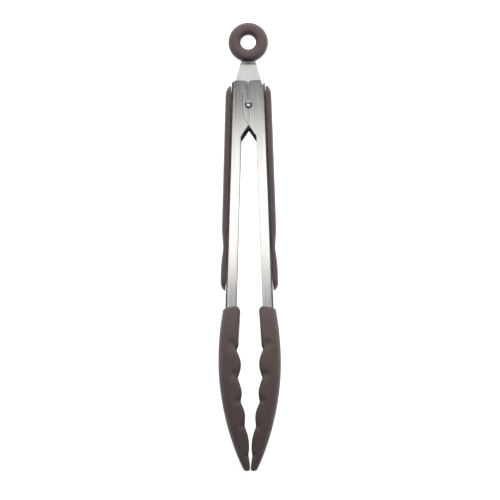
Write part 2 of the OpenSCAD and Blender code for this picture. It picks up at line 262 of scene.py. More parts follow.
def arm_layer():
    """How far the right channel sits forward of the middle."""
    low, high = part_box("arm_right")
    return (low.z + high.z) / 2 - PIVOT.z


def arm_half_depth():
    low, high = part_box("arm_right")
    return (high.z - low.z) / 2


# ---- mesh helpers ----


def arc(cx, cy, r, start, end, steps=8):
    """Points on an arc; angles in degrees."""
    angles = np.radians(np.linspace(start, end, steps + 1))
    return [(cx + r * math.cos(a), cy + r * math.sin(a)) for a in angles]


def bezier(a, b, c, d, steps):
    t = np.linspace(0, 1, steps + 1)[:, None]
    a, b, c, d = (np.array(p, float) for p in (a, b, c, d))
    return a * (1 - t) ** 3 + 3 * b * t * (1 - t) ** 2 + 3 * c * t * t * (1 - t) + d * t**3


def smooth_step(x):
    x = min(1.0, max(0.0, x))
    return x * x * (3 - 2 * x)


def new_object(name, mesh):
    obj = bpy.data.objects.new(name, mesh)
    bpy.context.scene.collection.objects.link(obj)
    return obj


def from_points(name, points, faces):
    mesh = bpy.data.meshes.new(name)
    mesh.from_pydata([tuple(p) for p in points], [], faces)
    return new_object(name, mesh)


def loft(name, rings, closed_path=False):
    """A skin over rings of equal counts, with flat caps unless the path closes on itself."""
    n, points, faces = len(rings[0]), [p for ring in rings for p in ring], []
    spans = len(rings) if closed_path else len(rings) - 1
    for i in range(spans):
        a, b = i * n, ((i + 1) % len(rings)) * n
        faces += [(a + k, a + (k + 1) % n, b + (k + 1) % n, b + k) for k in range(n)]
    if not closed_path:
        faces += [tuple(range(n - 1, -1, -1)), tuple(range(len(points) - n, len(points)))]
    return from_points(name, points, faces)


def lathe(name, profile, steps, centre):
    """A solid turned round Z from (radius, height) points; the first and last points lie on the axis."""
    inner = profile[1:-1]
    points = [
        (centre.x + r * math.cos(a), centre.y + r * math.sin(a), centre.z + z)
        for r, z in inner
        for a in np.linspace(0, 2 * math.pi, steps, endpoint=False)
    ]
    first, last = len(points), len(points) + 1
    points += [(centre.x, centre.y, centre.z + z) for _, z in (profile[0], profile[-1])]
    faces = []
    for i in range(len(inner) - 1):
        a, b = i * steps, (i + 1) * steps
        faces += [(a + k, a + (k + 1) % steps, b + (k + 1) % steps, b + k) for k in range(steps)]
    end = (len(inner) - 1) * steps
    faces += [(first, (k + 1) % steps, k) for k in range(steps)]
    faces += [(last, end + k, end + (k + 1) % steps) for k in range(steps)]
    return from_points(name, points, faces)


def tube(name, path, radius, sides=16):
    """A round wire along a path of Vectors, with closed ends."""
    rings = []
    for i, p in enumerate(path):
        along = (path[min(i + 1, len(path) - 1)] - path[max(i - 1, 0)]).normalized()
        across = along.cross(Vector((0, 0, 1))).normalized()
        up = across.cross(along)
        angles = np.linspace(0, 2 * math.pi, sides, endpoint=False)
        rings.append([p + radius * (math.cos(a) * across + math.sin(a) * up) for a in angles])
    return loft(name, rings)


def outward(obj):
    """Points the faces of a closed shell outwards."""
    made = bmesh.new()
    made.from_mesh(obj.data)
    bmesh.ops.recalc_face_normals(made, faces=made.faces)
    made.to_mesh(obj.data)
    made.free()
    return obj


def bake_modifiers(obj):
    """Turns an object's modifiers into plain mesh."""
    evaluated = obj.evaluated_get(bpy.context.evaluated_depsgraph_get())
    mesh = bpy.data.meshes.new_from_object(evaluated)
    old = obj.data
    obj.modifiers.clear()
    obj.data = mesh
    mesh.name = obj.name
    bpy.data.meshes.remove(old)
    return obj


def bevel(obj, width, segments=2, angle=35):
    cut = obj.modifiers.new("Round", "BEVEL")
    cut.width = width
    cut.segments = segments
    cut.limit_method = "ANGLE"
    cut.angle_limit = math.radians(angle)
    cut.harden_normals = False


def smooth(obj, angle=35):
    obj.data.shade_smooth()
    obj.data.set_sharp_from_angle(angle=math.radians(angle))


def merged_copy(node, name):
    """A CAD node's mesh with its loose triangles welded and its flat faces joined."""
    obj = new_object(name, frame["nodes"][node].data.copy())
    obj.data.materials.clear()
    made = bmesh.new()
    made.from_mesh(obj.data)
    bmesh.ops.remove_doubles(made, verts=made.verts, dist=mm(0.002))
    bmesh.ops.dissolve_limit(made, angle_limit=math.radians(0.5), verts=made.verts, edges=made.edges)
    made.to_mesh(obj.data)
    made.free()
    return obj


def paint(obj, material):
    """Gives an object one material in place of any it has, and hands it back."""
    obj.data.materials.clear()
    obj.data.materials.append(material)
    return obj


def settle(obj, body, slot, material, *nodes, space=None, angle=35, flat=False):
    """Puts a finished mesh in place, dresses it and ties it to its body; flat keeps big faces level."""
    if space is not None:
        obj.data.transform(space)
    paint(obj, material)
    smooth(obj, angle)
    if flat:
        level = obj.modifiers.new("Level", "WEIGHTED_NORMAL")
        level.keep_sharp, level.weight = True, 100
        bake_modifiers(obj)
    if body is not None:
        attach(obj, body)
    if nodes:
        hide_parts(*nodes)
    return obj


# ---- materials ----


def shader(name):
    """A new node material: (material, nodes, link function, principled shader)."""
    material = bpy.data.materials.get(name)
    if material:
        bpy.data.materials.remove(material)
    material = bpy.data.materials.new(name)
    material.use_nodes = True
    tree = material.node_tree
    return material, tree.nodes, tree.links.new, tree.nodes["Principled BSDF"]


def preset(node, **values):
    """Sets a node's inputs by their names, with _ for a space."""
    for label, value in values.items():
        node.inputs[label.replace("_", " ")].default_value = value


def noise(nodes, link, vector, scale, detail=3.0, rough=0.5):
    made = nodes.new("ShaderNodeTexNoise")
    preset(made, Scale=scale, Detail=detail, Roughness=rough)
    link(vector, made.inputs["Vector"])
    return made.outputs["Fac"]


def stretched(nodes, link, scale=(1, 1, 1)):
    """Object coordinates with a scale of their own along each axis."""
    coords = nodes.new("ShaderNodeTexCoord")
    mapping = nodes.new("ShaderNodeMapping")
    preset(mapping, Scale=scale)
    link(coords.outputs["Object"], mapping.inputs["Vector"])
    return mapping.outputs["Vector"]


def spread(nodes, link, value, low, high, start=0.3, end=0.7):
    """A value of about a half moved to a range."""
    made = nodes.new("ShaderNodeMapRange")
    preset(made, From_Min=start, From_Max=end, To_Min=low, To_Max=high)
    link(value, made.inputs["Value"])
    return made.outputs["Result"]


def tinted(nodes, link, base, shade):
    """The base colour times a grey value."""
    made = nodes.new("ShaderNodeVectorMath")
    made.operation = "SCALE"
    made.inputs[0].default_value = base
    link(shade, made.inputs["Scale"])
    return made.outputs["Vector"]


def bumped(nodes, link, surface, height, depth, strength=1.0):
    made = nodes.new("ShaderNodeBump")
    preset(made, Distance=depth, Strength=strength)
    link(height, made.inputs["Height"])
    link(made.outputs["Normal"], surface.inputs["Normal"])


def product(nodes, link, a, b):
    made = nodes.new("ShaderNodeMath")
    made.operation = "MULTIPLY"
    link(a, made.inputs[0])
    link(b, made.inputs[1])
    return made.outputs["Value"]


def brushed_steel(name, base, rough=0.16):
    """Stainless steel brushed along Y: long fine scratches over broad soft bands."""
    material, nodes, link, surface = shader(name)
    fine = noise(nodes, link, stretched(nodes, link, (2600, 22, 2600)), 1.0, 2.0)
    broad = noise(nodes, link, stretched(nodes, link, (520, 7, 520)), 1.0, 2.0)
    shade = product(
        nodes, link, spread(nodes, link, fine, 0.93, 1.06), spread(nodes, link, broad, 0.95, 1.04)
    )
    link(tinted(nodes, link, base, shade), surface.inputs["Base Color"])
    preset(surface, Metallic=1.0)
    link(spread(nodes, link, fine, rough - 0.03, rough + 0.06), surface.inputs["Roughness"])
    bumped(nodes, link, surface, fine, mm(0.012), 0.12)
    return material


def drawn_steel(name, base, rough=0.24):
    """Plain bright steel of wire, rivets and clips, with faint handling marks."""
    material, nodes, link, surface = shader(name)
    marks = noise(nodes, link, stretched(nodes, link, (900, 900, 900)), 1.0, 4.0)
    link(tinted(nodes, link, base, spread(nodes, link, marks, 0.92, 1.06)), surface.inputs["Base Color"])
    preset(surface, Metallic=1.0)
    link(spread(nodes, link, marks, rough - 0.05, rough + 0.08), surface.inputs["Roughness"])
    bumped(nodes, link, surface, marks, mm(0.01), 0.4)
    return material


def matte_rubber(name, base, grain=1.0, rough=0.62, cloud=0.06):
    """Matte moulded silicone or soft plastic: a fine eggshell grain and faint cloudiness."""
    material, nodes, link, surface = shader(name)
    grit = noise(nodes, link, stretched(nodes, link), 3800 * grain, 3.0, 0.6)
    haze = noise(nodes, link, stretched(nodes, link), 110, 3.0, 0.55)
    shade = product(
        nodes, link, spread(nodes, link, haze, 1 - cloud, 1 + cloud), spread(nodes, link, grit, 0.94, 1.06)
    )
    link(tinted(nodes, link, base, shade), surface.inputs["Base Color"])
    link(spread(nodes, link, haze, rough - 0.05, rough + 0.07), surface.inputs["Roughness"])
    preset(surface, Specular_IOR_Level=0.4, Sheen_Weight=0.12, Sheen_Roughness=0.5)
    bumped(nodes, link, surface, grit, mm(0.02), 0.35)
    return material


def moulded_nylon(name, base):
    """Hard black nylon with a dull sheen."""
    material, nodes, link, surface = shader(name)
    grit = noise(nodes, link, stretched(nodes, link), 1500, 3.0)
    link(tinted(nodes, link, base, spread(nodes, link, grit, 0.88, 1.12)), surface.inputs["Base Color"])
    link(spread(nodes, link, grit, 0.42, 0.55), surface.inputs["Roughness"])
    bumped(nodes, link, surface, grit, mm(0.015), 0.3)
    return material


def painted_floor(base):
    """A plain pale floor that is lit a little from within, as a light table is."""
    material, nodes, link, surface = shader("floor")
    grain = noise(nodes, link, stretched(nodes, link), 6.0, 2.0)
    link(tinted(nodes, link, base, spread(nodes, link, grain, 0.995, 1.0)), surface.inputs["Base Color"])
    preset(surface, Roughness=0.9, Specular_IOR_Level=0.0)
    preset(surface, Emission_Color=(1, 1, 1, 1), Emission_Strength=0.85)
    return material


# ---- geometry nodes ----


class Tree:
    """A Geometry Nodes group under construction."""

    def __init__(self, name):
        self.group = bpy.data.node_groups.new(name, "GeometryNodeTree")
        self.sockets = {}
        self.start = self.group.nodes.new("NodeGroupInput")
        self.end = self.group.nodes.new("NodeGroupOutput")
        self.group.interface.new_socket("Geometry", in_out="OUTPUT", socket_type="NodeSocketGeometry")

    def size(self, label, kind="NodeSocketFloat"):
        """A named input; its outlet inside the tree."""
        socket = self.group.interface.new_socket(label, in_out="INPUT", socket_type=kind)
        self.sockets[label] = socket.identifier
        return self.start.outputs[label]

    def node(self, kind, **inputs):
        made = self.group.nodes.new(kind)
        for label, value in inputs.items():
            self.feed(made.inputs[label.replace("_", " ")], value)
        return made

    def feed(self, socket, value):
        if isinstance(value, bpy.types.NodeSocket):
            self.group.links.new(value, socket)
        else:
            socket.default_value = value

    def finish(self, geometry):
        """Ends the tree in Realize Instances and Set Material."""
        solid = self.node("GeometryNodeRealizeInstances", Geometry=geometry)
        dressed = self.node("GeometryNodeSetMaterial", Geometry=solid.outputs["Geometry"])
        material = self.size("Material", "NodeSocketMaterial")
        self.feed(dressed.inputs["Material"], material)
        self.feed(self.end.inputs[0], dressed.outputs["Geometry"])

    def grow(self, name, **values):
        """An object whose mesh is this tree's result for these inputs."""
        obj = new_object(name, bpy.data.meshes.new(name))
        modifier = obj.modifiers.new("Build", "NODES")
        modifier.node_group = self.group
        for label, value in values.items():
            modifier[self.sockets[label.replace("_", " ")]] = value
        bpy.context.view_layer.update()
        return bake_modifiers(obj)


def coil_tree():
    """A close-wound coil of round wire, standing on Z."""
    tree = Tree("Spring coil")
    radius, rise = tree.size("Radius"), tree.size("Height")
    turns, wire = tree.size("Turns"), tree.size("Wire")
    path = tree.node(
        "GeometryNodeCurveSpiral", Resolution=48, Rotations=turns, Start_Radius=radius, End_Radius=radius,
        Height=rise,
    )
    section = tree.node("GeometryNodeCurvePrimitiveCircle", Resolution=14, Radius=wire)
    skin = tree.node(
        "GeometryNodeCurveToMesh", Curve=path.outputs["Curve"], Profile_Curve=section.outputs["Curve"],
        Fill_Caps=True,
    )
    tree.finish(skin.outputs["Mesh"])
    return tree


def clip_tree():
    """A row of like clips along Y, each an instance of one object."""
    tree = Tree("Clip row")
    clip = tree.size("Clip", "NodeSocketObject")
    count = tree.size("Count", "NodeSocketInt")
    first = tree.size("First", "NodeSocketVector")
    step = tree.size("Step", "NodeSocketVector")
    row = tree.node("GeometryNodeMeshLine", Count=count, Start_Location=first, Offset=step)
    picked = tree.node("GeometryNodeObjectInfo", Object=clip, As_Instance=True)
    placed = tree.node(
        "GeometryNodeInstanceOnPoints", Points=row.outputs["Mesh"], Instance=picked.outputs["Geometry"]
    )
    tree.finish(placed.outputs["Instances"])
    return tree


# ---- steel arms ----


def flange_outline(arms, end, front):
    """A flange seen from the front, from the fold's lower end round to the inner edge.

    The front one is cut free of the fold at its top, and the rear one slopes down to it.
    """
    bend_x, relief_y = arms.edge - arms.fold, arms.top - arms.relief
    hump_r, corner_r, chin_r, ear_r = mm(3), mm(5), mm(1.5), mm(0.8)
    hump_x, chin_y = mm(3), mm(2) - arms.lobe_drop
    slot_x, corner_y = bend_x - mm(0.8), arms.top - corner_r - mm(3.5)
    outer = [(bend_x, -end), (bend_x, relief_y)]
    if front:
        outer += [(slot_x, relief_y)] + arc(slot_x - ear_r, arms.top - ear_r, ear_r, 0, 90, 5)
    else:
        outer += [(bend_x, slope_y(arms, bend_x)), (arms.edge - arms.corner, arms.top)]
    return (
        outer
        + arc(hump_x, arms.top - hump_r, hump_r, 90, 125, 5)
        + arc(corner_r - arms.lobe_reach, corner_y, corner_r, 135, 180, 8)
        + arc(chin_r - arms.lobe_reach, chin_y, chin_r, 180, 215, 5)
        + [(arms.edge - arms.flange, -arms.throat), (arms.edge - arms.flange, -end)]
    )


def slope_y(arms, x):
    """Height of the rear flange's sloping corner at x."""
    return arms.top - arms.relief / 2 * (1 - (arms.edge - x) / arms.corner)


def fold_columns(arms, bend_z):
    """Across the fold, the web and the other fold: (x, z, height of the top)."""
    relief_y, web_top, columns = arms.top - arms.relief, arms.top - arms.relief / 2, []
    haste = 1.6  # how much sooner the top's rise ends than the fold
    for a in np.radians(np.linspace(90, 0, 9)[1:]):
        x = arms.edge - arms.fold * (1 - math.cos(a))
        lift = smooth_step((x - arms.edge + arms.fold) / arms.fold * haste)
        columns.append((x, bend_z + arms.fold * math.sin(a), relief_y + lift * (web_top - relief_y)))
    for a in np.radians(np.linspace(0, -90, 9)[:-1]):
        x = arms.edge - arms.fold * (1 - math.cos(a))
        columns.append((x, arms.fold * math.sin(a) - bend_z, slope_y(arms, x)))
    return columns


def channel(name, arms, end):
    """The folded sheet: two flanges, two folds and the web, all from its outer face inwards."""
    half, relief_y = arm_half_depth(), arms.top - arms.relief
    front, back = flange_outline(arms, end, True), flange_outline(arms, end, False)
    points = [(x, y, half) for x, y in front] + [(x, y, -half) for x, y in back]
    second = len(front)
    faces = [tuple(range(second)), tuple(range(len(points) - 1, second - 1, -1))]
    columns = [(0, 1)]
    for x, z, top in fold_columns(arms, half - arms.fold):
        columns.append(tuple(range(len(points), len(points) + 3)))
        points += [(x, -end, z), (x, relief_y, z), (x, top, z)]
    columns.append((second, second + 1, second + 2))
    for a, b in zip(columns, columns[1:]):
        faces.append((a[0], b[0], b[1], a[1]))
        if len(a) == 3:
            faces.append((a[1], b[1], b[2], a[2]))
    obj = from_points(name, points, faces)
    made = bmesh.new()
    made.from_mesh(obj.data)
    bmesh.ops.recalc_face_normals(made, faces=made.faces)
    web = max(made.faces, key=lambda f: f.calc_center_median().x)
    if web.normal.x < 0:
        bmesh.ops.reverse_faces(made, faces=made.faces)
    made.to_mesh(obj.data)
    made.free()
    wall = obj.modifiers.new("Sheet", "SOLIDIFY")
    wall.thickness = arms.sheet
    wall.offset = -1
    wall.use_even_offset = True
    bevel(obj, arms.round, 3, 50)
    return bake_modifiers(obj)


class TONGS_OT_arms(bpy.types.Operator):
    """Build the two steel arms"""

    bl_idname = "tongs.arms"
    bl_label = "Steel arms"

    def execute(self, context):
        arms, finish = context.scene.tongs_arms, context.scene.tongs_finish
        head_top = PIVOT.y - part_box("head_right")[1].y
        steel = brushed_steel("brushed_steel", finish.steel)
        for name, side in SIDES.items():
            obj = channel(f"channel_{name}", arms, head_top + arms.buried)
            space = arm_space(side, arms.splay) @ Matrix.Translation((0, 0, arm_layer()))
            settle(obj, f"{name}_arm", "brushed_steel", steel, f"arm_{name}", space=space, flat=True)
        return {"FINISHED"}


# ---- heads ----


class HeadForm:
    """The curves of a head: u is the drop below its top, x the distance off the midline, z the depth."""

    last = 4  # number of the last notch, counted from 0

    def __init__(self, sizes):
        low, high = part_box("head_right")
        self.s = sizes
        self.top = high.y - PIVOT.y
        self.long = high.y - low.y
        self.half_w = high.x
        self.half_d = (high.z - low.z) / 2
        self.neck_d = arm_half_depth() + arm_layer() + mm(1.4)
        self.widest = 0.34 * self.long
        self.back = self.outline(sizes.neck, self.half_w, sizes.tip_half, mm(1.1), mm(7.2))
        self.plan = self.outline(self.neck_d, self.half_d, sizes.tip_deep, mm(0.6), mm(5))

    def outline(self, start, most, end, rise, fall):
        """A long curve from the head's top, out to its widest place and in to the tip."""
        wide = self.widest
        upper = bezier((0, start), (mm(11), most - rise), (wide - mm(11), most), (wide, most), 24)
        lower = bezier(
            (wide, most), (wide + mm(25), most), (self.long - mm(14), end + fall), (self.long, end), 48
        )
        return np.concatenate([upper, lower[1:]])

    def back_x(self, u):
        return float(np.interp(u, self.back[:, 0], self.back[:, 1]))

    def depth(self, u):
        return float(np.interp(u, self.plan[:, 0], self.plan[:, 1]))

    def crest(self, u):
        bend = 0.485 * self.long
        slope = (self.s.crest - mm(0.4)) / (0.86 * self.long - bend)
        return max(self.s.tip_gap, self.s.crest - slope * max(0.0, u - bend))

    def notch_no(self, u):
        """Counts the notches down the rim: a whole number at each notch, a half at each crest."""
        i = (u - self.s.first) / self.s.pitch
        return i - self.s.drift / self.s.pitch * math.sin(math.pi / 2 * max(0.0, i))

    def notch(self, u):
        """How deep the rim is notched at u: rounded notches, shallower to the tip."""
        i = self.notch_no(u)
        if not -0.5 <= i <= self.last + 0.5:
            return 0.0
        wave = math.sin(math.pi * i)
        soft = 0.02  # rounds the bottom of each notch
        fade = 1 - 0.62 * (max(0.0, i) / self.last) ** 0.6
        return self.s.notch * fade * (1 - math.sqrt((wave * wave + soft) / (1 + soft)))

    def rim(self, u):
        lean = self.s.lean * u / self.s.first if u < self.s.first else 0.0
        return self.crest(u) + max(self.notch(u), lean)

    def open(self, u):
        """0 where the head is solid, 1 where the scoop is hollow."""
        rise = smooth_step((u - mm(19)) / mm(13))
        fall = smooth_step((self.long - mm(5) - u) / mm(16))
        return rise * fall

    def notches(self):
        s = self.s
        return [s.first + i * s.pitch + s.drift * math.sin(math.pi / 2 * i) for i in range(self.last + 1)]

    def top_fall(self, u, x):
        """How far the skin sags below a level top: a slant to the outer end and a cut inner corner."""
        across = min(1.0, max(0.0, (x - self.rim(u)) / (self.back_x(u) - self.rim(u))))
        slant = self.s.slant * across**2 * max(0.0, 1 - u / mm(14))
        corner = mm(1.3) * math.exp(-(((x - self.rim(u)) / mm(1.1)) ** 2)) * max(0.0, 1 - u / mm(6))
        return slant + corner


def head_section(form, u, inset):
    """Half of a head's section at u, in two lists of (x, z): from its back to the rim, then to the floor."""
    s = form.s
    end_r = mm(1.3)
    short = min(u, form.long - u)
    ease = end_r * (1 - math.sqrt(max(0.0, 1 - max(0.0, 1 - short / end_r) ** 2)))
    rim, deep = form.rim(u) + inset + ease, form.depth(u) - inset - ease
    back = max(form.back_x(u) - inset - ease, rim + mm(0.8))
    room = back - rim
    corner = min(s.corner - 0.6 * inset, 0.42 * room, 0.75 * deep)
    wall = min(s.wall, 0.42 * deep) - 1.6 * inset
    wall = max(wall, mm(0.6))
    floor_x = rim + max(mm(0.02), form.open(u) * (room - min(s.back - 1.8 * inset, 0.5 * room)))
    lip = min(wall / 2, floor_x - rim)
    inner = min(0.8 * corner, 0.9 * (floor_x - rim - lip) + mm(0.01), deep - wall - mm(0.1))
    flare = 0.05 * deep
    outside = [(back, z) for z in np.linspace(0, deep - flare - corner, 7)[:-1]]
    outside += arc(back - corner, deep - flare - corner, corner, 0, 90, 9)
    side_x = np.linspace(back - corner, rim + wall / 2, 15)[1:]
    outside += [(x, deep - flare * smooth_step((x - rim) / room)) for x in side_x]
    outside += arc(rim + wall / 2, deep - wall / 2, wall / 2, 90, 180, 5)[1:]
    inside = [
        (rim + lip - lip * math.cos(a), deep - wall / 2 - wall / 2 * math.sin(a))
        for a in np.linspace(0, math.pi / 2, 5)[1:]
    ]
    in_z = deep - wall
    inside += [(x, in_z) for x in np.linspace(rim + lip, floor_x - inner, 7)[1:]]
    inside += arc(floor_x - inner, in_z - inner, inner, 90, 0, 7)[1:]
    inside += [(floor_x, z) for z in np.linspace(in_z - inner, 0, 7)[1:]]
    return outside, inside


def dimpled(form, u, x, z):
    """A point of the outside, sunk by the dimples beside the notches and pinched near the rim."""
    if abs(z) <= mm(0.5):
        return x, z
    dent = 0.0
    for i, at in enumerate(form.notches()):
        size = 1 - 0.12 * i
        across = (x - form.rim(at) - mm(2.1) * size) / mm(2.3 * size)
        along = (u - at + mm(2.8) * max(0.0, 1 - 0.3 * i)) / mm(2.6 * size)
        dent += form.s.dimple * size * math.exp(-(across**2) - along**2)
    near = math.exp(-(((x - form.rim(u)) / mm(3.2)) ** 2))
    pinch = 0.22 * form.notch(u) * near
    return x, z - math.copysign(dent + pinch, z)


def ridged(form, u, x, z):
    """A point of the scoop's floor, raised by the ridges that run across from notch to notch."""
    ripple = form.notch(u) / max(form.s.notch, mm(0.1))
    middle = math.exp(-((z / (0.6 * form.depth(u))) ** 4))
    return x - form.s.ridge * ripple * form.open(u) * middle, z


def head_shell(name, form, inset=0.0, plain=False):
    """A closed scoop, lofted from its top to its tip; a plain one has no dimples or ridges."""
    ends = [0, 0.12, 0.3, 0.55, 0.9, 1.3]
    stations = [mm(e) for e in ends]
    stations += list(np.linspace(mm(2), form.long - mm(2), 78 if plain else 168))
    stations += [form.long - mm(e) for e in reversed(ends)]
    rings = []
    for u in stations:
        outside, inside = head_section(form, u, inset)
        if not plain:
            outside = [dimpled(form, u, x, z) for x, z in outside]
            inside = [ridged(form, u, x, z) for x, z in inside]
        half = outside + inside
        full = half + [(x, -z) for x, z in reversed(half[1:-1])]
        y = form.top - min(max(u, inset), form.long - inset)
        rings.append([(x, y - form.top_fall(u, x), z) for x, z in full])
    return outward(loft(name, rings))


class TONGS_OT_heads(bpy.types.Operator):
    """Build the two silicone heads and the hard cores inside them"""

    bl_idname = "tongs.heads"
    bl_label = "Heads"

    def execute(self, context):
        sizes, finish = context.scene.tongs_heads, context.scene.tongs_finish
        silicone = matte_rubber("silicone", finish.silicone)
        nylon = moulded_nylon("head_nylon", finish.core)
        form = HeadForm(sizes)
        for name, side in SIDES.items():
            body, space = f"{name}_arm", side_space(side)
            skin = head_shell(f"silicone_head_{name}", form)
            settle(skin, body, "silicone", silicone, f"head_{name}", space=space, angle=60)
            core = head_shell(f"nylon_core_{name}", form, sizes.skin, plain=True)
            settle(core, body, "hard_core", nylon, f"head_core_{name}", space=space, angle=60)
        return {"FINISHED"}


# ---- grips ----


def pad_round(distance, radius):
    """The quarter round by which a pad's end falls away."""
    k = min(1.0, max(0.0, distance / radius))
    return math.sqrt(max(0.0, 1 - (1 - k) ** 2))


def pad_thickness(grips, s):
    run = (s + grips.top) / (grips.drop + grips.top)
    hollow_at = grips.drop - grips.hollow_up
    hollow = grips.hollow * math.exp(-(((s - hollow_at) / grips.hollow_long) ** 2))
    return grips.thick - grips.thin * run - hollow


def pad(name, grips, edge):
    """A soft pad: rounded corners, a crowned top and one finger hollow."""
    upper_r, lower_r = mm(6.5), mm(5)  # how far the two ends round off
    crown = 2 / 4.5  # 1 would be a round back and 0 a square one
    total, rings = grips.top + grips.drop, []
    shares = (1 - np.cos(np.linspace(0, math.pi, 90))) / 2
    for share in shares:
        s = share * total - grips.top
        short = max(min(s + grips.top, grips.drop - s), mm(0.01))
        half = grips.width / 2 - grips.corner * (1 - pad_round(short, grips.corner))
        ends = pad_round(s + grips.top, upper_r) * pad_round(grips.drop - s, lower_r)
        high = pad_thickness(grips, s) * max(ends, 0.02)
        ring = []
        for a in np.linspace(0, math.pi, 41):
            c, t = math.cos(a), math.sin(a)
            z = half * math.copysign(abs(c) ** crown, c)
            ring.append((edge + mm(0.01) + high * t**crown, -s, z))
        rings.append(ring)
    return outward(loft(name, rings))


def push_clip(name, grips, centre_x):
    """A toothed push-on clip of spring steel, facing X."""
    teeth, tooth_steps, tooth_long, tooth_lift = 6, 6, mm(0.6), mm(0.35)
    inner, rim, bore = grips.peg + mm(0.02), [], []
    for i in range(teeth * tooth_steps):
        a = 2 * math.pi * i / (teeth * tooth_steps)
        gap = i % tooth_steps in (0, 1)
        r, lift = (inner + tooth_long, 0) if gap else (inner, tooth_lift)
        rim.append((centre_x, grips.clip * math.cos(a), grips.clip * math.sin(a)))
        bore.append((centre_x - lift, r * math.cos(a), r * math.sin(a)))
    rings = [
        [(x + offset, y, z) for x, y, z in circle]
        for circle, offset in ((rim, 0), (rim, grips.clip_thick), (bore, grips.clip_thick), (bore, 0))
    ]
    return outward(loft(name, rings, closed_path=True))


class TONGS_OT_grips(bpy.types.Operator):
    """Build the soft pads, their carriers and the clips that hold them"""

    bl_idname = "tongs.grips"
    bl_label = "Hand grips"

    def execute(self, context):
        grips, arms = context.scene.tongs_grips, context.scene.tongs_arms
        finish = context.scene.tongs_finish
        soft = matte_rubber("soft_grip", finish.grip, grain=0.8, rough=0.58)
        nylon = moulded_nylon("carrier_nylon", finish.core)
        steel = drawn_steel("clip_steel", finish.bright)
        row = clip_tree()
        for name, side in SIDES.items():
            body = f"{name}_arm"
            space = arm_space(side, arms.splay) @ Matrix.Translation((0, 0, arm_layer()))
            settle(
                pad(f"soft_pad_{name}", grips, arms.edge), body, "soft_grip", soft, f"grip_{name}",
                space=space, angle=60,
            )
            carrier = paint(frame["nodes"][f"grip_carrier_{name}"], nylon)
            clip = push_clip("clip_pattern", grips, arms.edge - arms.sheet - grips.clip_thick - mm(0.01))
            clips = row.grow(
                f"push_clips_{name}", Clip=clip, Count=grips.pegs,
                First=(0, -grips.first_peg * grips.drop, 0), Step=(0, -grips.peg_step * grips.drop, 0),
                Material=steel,
            )
            bpy.data.objects.remove(clip)
            settle(clips, body, "plain_steel", steel, f"grip_clips_{name}", space=space, angle=40)
        return {"FINISHED"}


# ---- lock tab and ring ----


class TONGS_OT_lock_tab(bpy.types.Operator):
    """Build the folded steel pull tab"""

    bl_idname = "tongs.lock_tab"
    bl_label = "Lock tab"

    def execute(self, context):
        finish = context.scene.tongs_finish
        tab = merged_copy("lock_tab", "pull_tab")
        made = bmesh.new()
        made.from_mesh(tab.data)
        folds, fold_cut, edge_round = [e for e in made.edges if is_fold(e)], mm(1.1), mm(0.37)
        bmesh.ops.bevel(made, geom=folds, offset=fold_cut, segments=5, profile=0.5, affect="EDGES")
        made.to_mesh(tab.data)
        made.free()
        bevel(tab, edge_round, 3, 50)
        bake_modifiers(tab)
        # the tab's lighter colour is a painted highlight for the side light's reflection, which steel does
        # not show
        steel = brushed_steel("tab_steel", finish.tab, 0.24)
        settle(tab, "tab", "tab_steel", steel, "lock_tab", angle=40, flat=True)
        return {"FINISHED"}


def is_fold(edge):
    """True for a line across the strip where its two plates are drawn in."""
    along = (edge.verts[1].co - edge.verts[0].co).normalized()
    return (
        len(edge.link_faces) == 2
        and abs(along.x) > 0.999
        and math.radians(15) < edge.calc_face_angle(0) < math.radians(50)
    )


def ring_section(rings, outer, half_t):
    """The ring's section as (radius, height), with a faint moulding line at its widest."""
    hole_r, edge_r = rings.hole_edge, rings.outer_edge
    seam_r, foot_z, seam_z = outer + rings.seam, mm(0.3), mm(0.08)
    section = arc(outer - edge_r, half_t - edge_r, edge_r, 90, 0, 12)
    section += [(outer, foot_z), (seam_r, seam_z), (seam_r, -seam_z), (outer, -foot_z)]
    section += arc(outer - edge_r, edge_r - half_t, edge_r, 0, -90, 12)
    section += arc(rings.hole + hole_r, hole_r - half_t, hole_r, -90, -180, 9)
    section += arc(rings.hole + hole_r, half_t - hole_r, hole_r, 180, 90, 9)
    return section


class TONGS_OT_ring(bpy.types.Operator):
    """Build the soft hanging ring and the eyelet inside it"""

    bl_idname = "tongs.ring"
    bl_label = "Hanging ring"

    def execute(self, context):
        rings, finish = context.scene.tongs_ring, context.scene.tongs_finish
        low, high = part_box("hang_ring")
        centre, outer = (low + high) / 2, (high.x - low.x) / 2 - rings.seam
        section = ring_section(rings, outer, (high.z - low.z) / 2)
        around = [
            [(centre.x + r * math.cos(a), centre.y + r * math.sin(a), centre.z + z) for r, z in section]
            for a in np.linspace(0, 2 * math.pi, 144, endpoint=False)
        ]
        ring = outward(loft("soft_ring", around, closed_path=True))
        rubber = matte_rubber("ring_rubber", finish.ring, grain=0.9, rough=0.56)
        settle(ring, "tab", "ring_skin", rubber, "hang_ring", angle=50)
        core = paint(frame["nodes"]["ring_core"], moulded_nylon("eyelet_nylon", finish.core))
        return {"FINISHED"}


# ---- pivot ----


def rivet_profile(sizes, top, low):
    """The rivet from its front head's top to its rear one's, as (radius, height)."""
    rim = mm(0.12)  # straight edge of each head
    front, back = top - sizes.dome - rim, low + sizes.dome + rim

    def dome(base, way):
        return [
            (sizes.head * math.sin(a) ** sizes.flat, base + way * sizes.dome * math.cos(a) ** sizes.flat)
            for a in np.linspace(0, math.pi / 2, 18)
        ]

    shank = [(sizes.head, front), (sizes.pin, front), (sizes.pin, back), (sizes.head, back)]
    return dome(front + rim, 1) + shank + dome(back - rim, -1)[::-1]


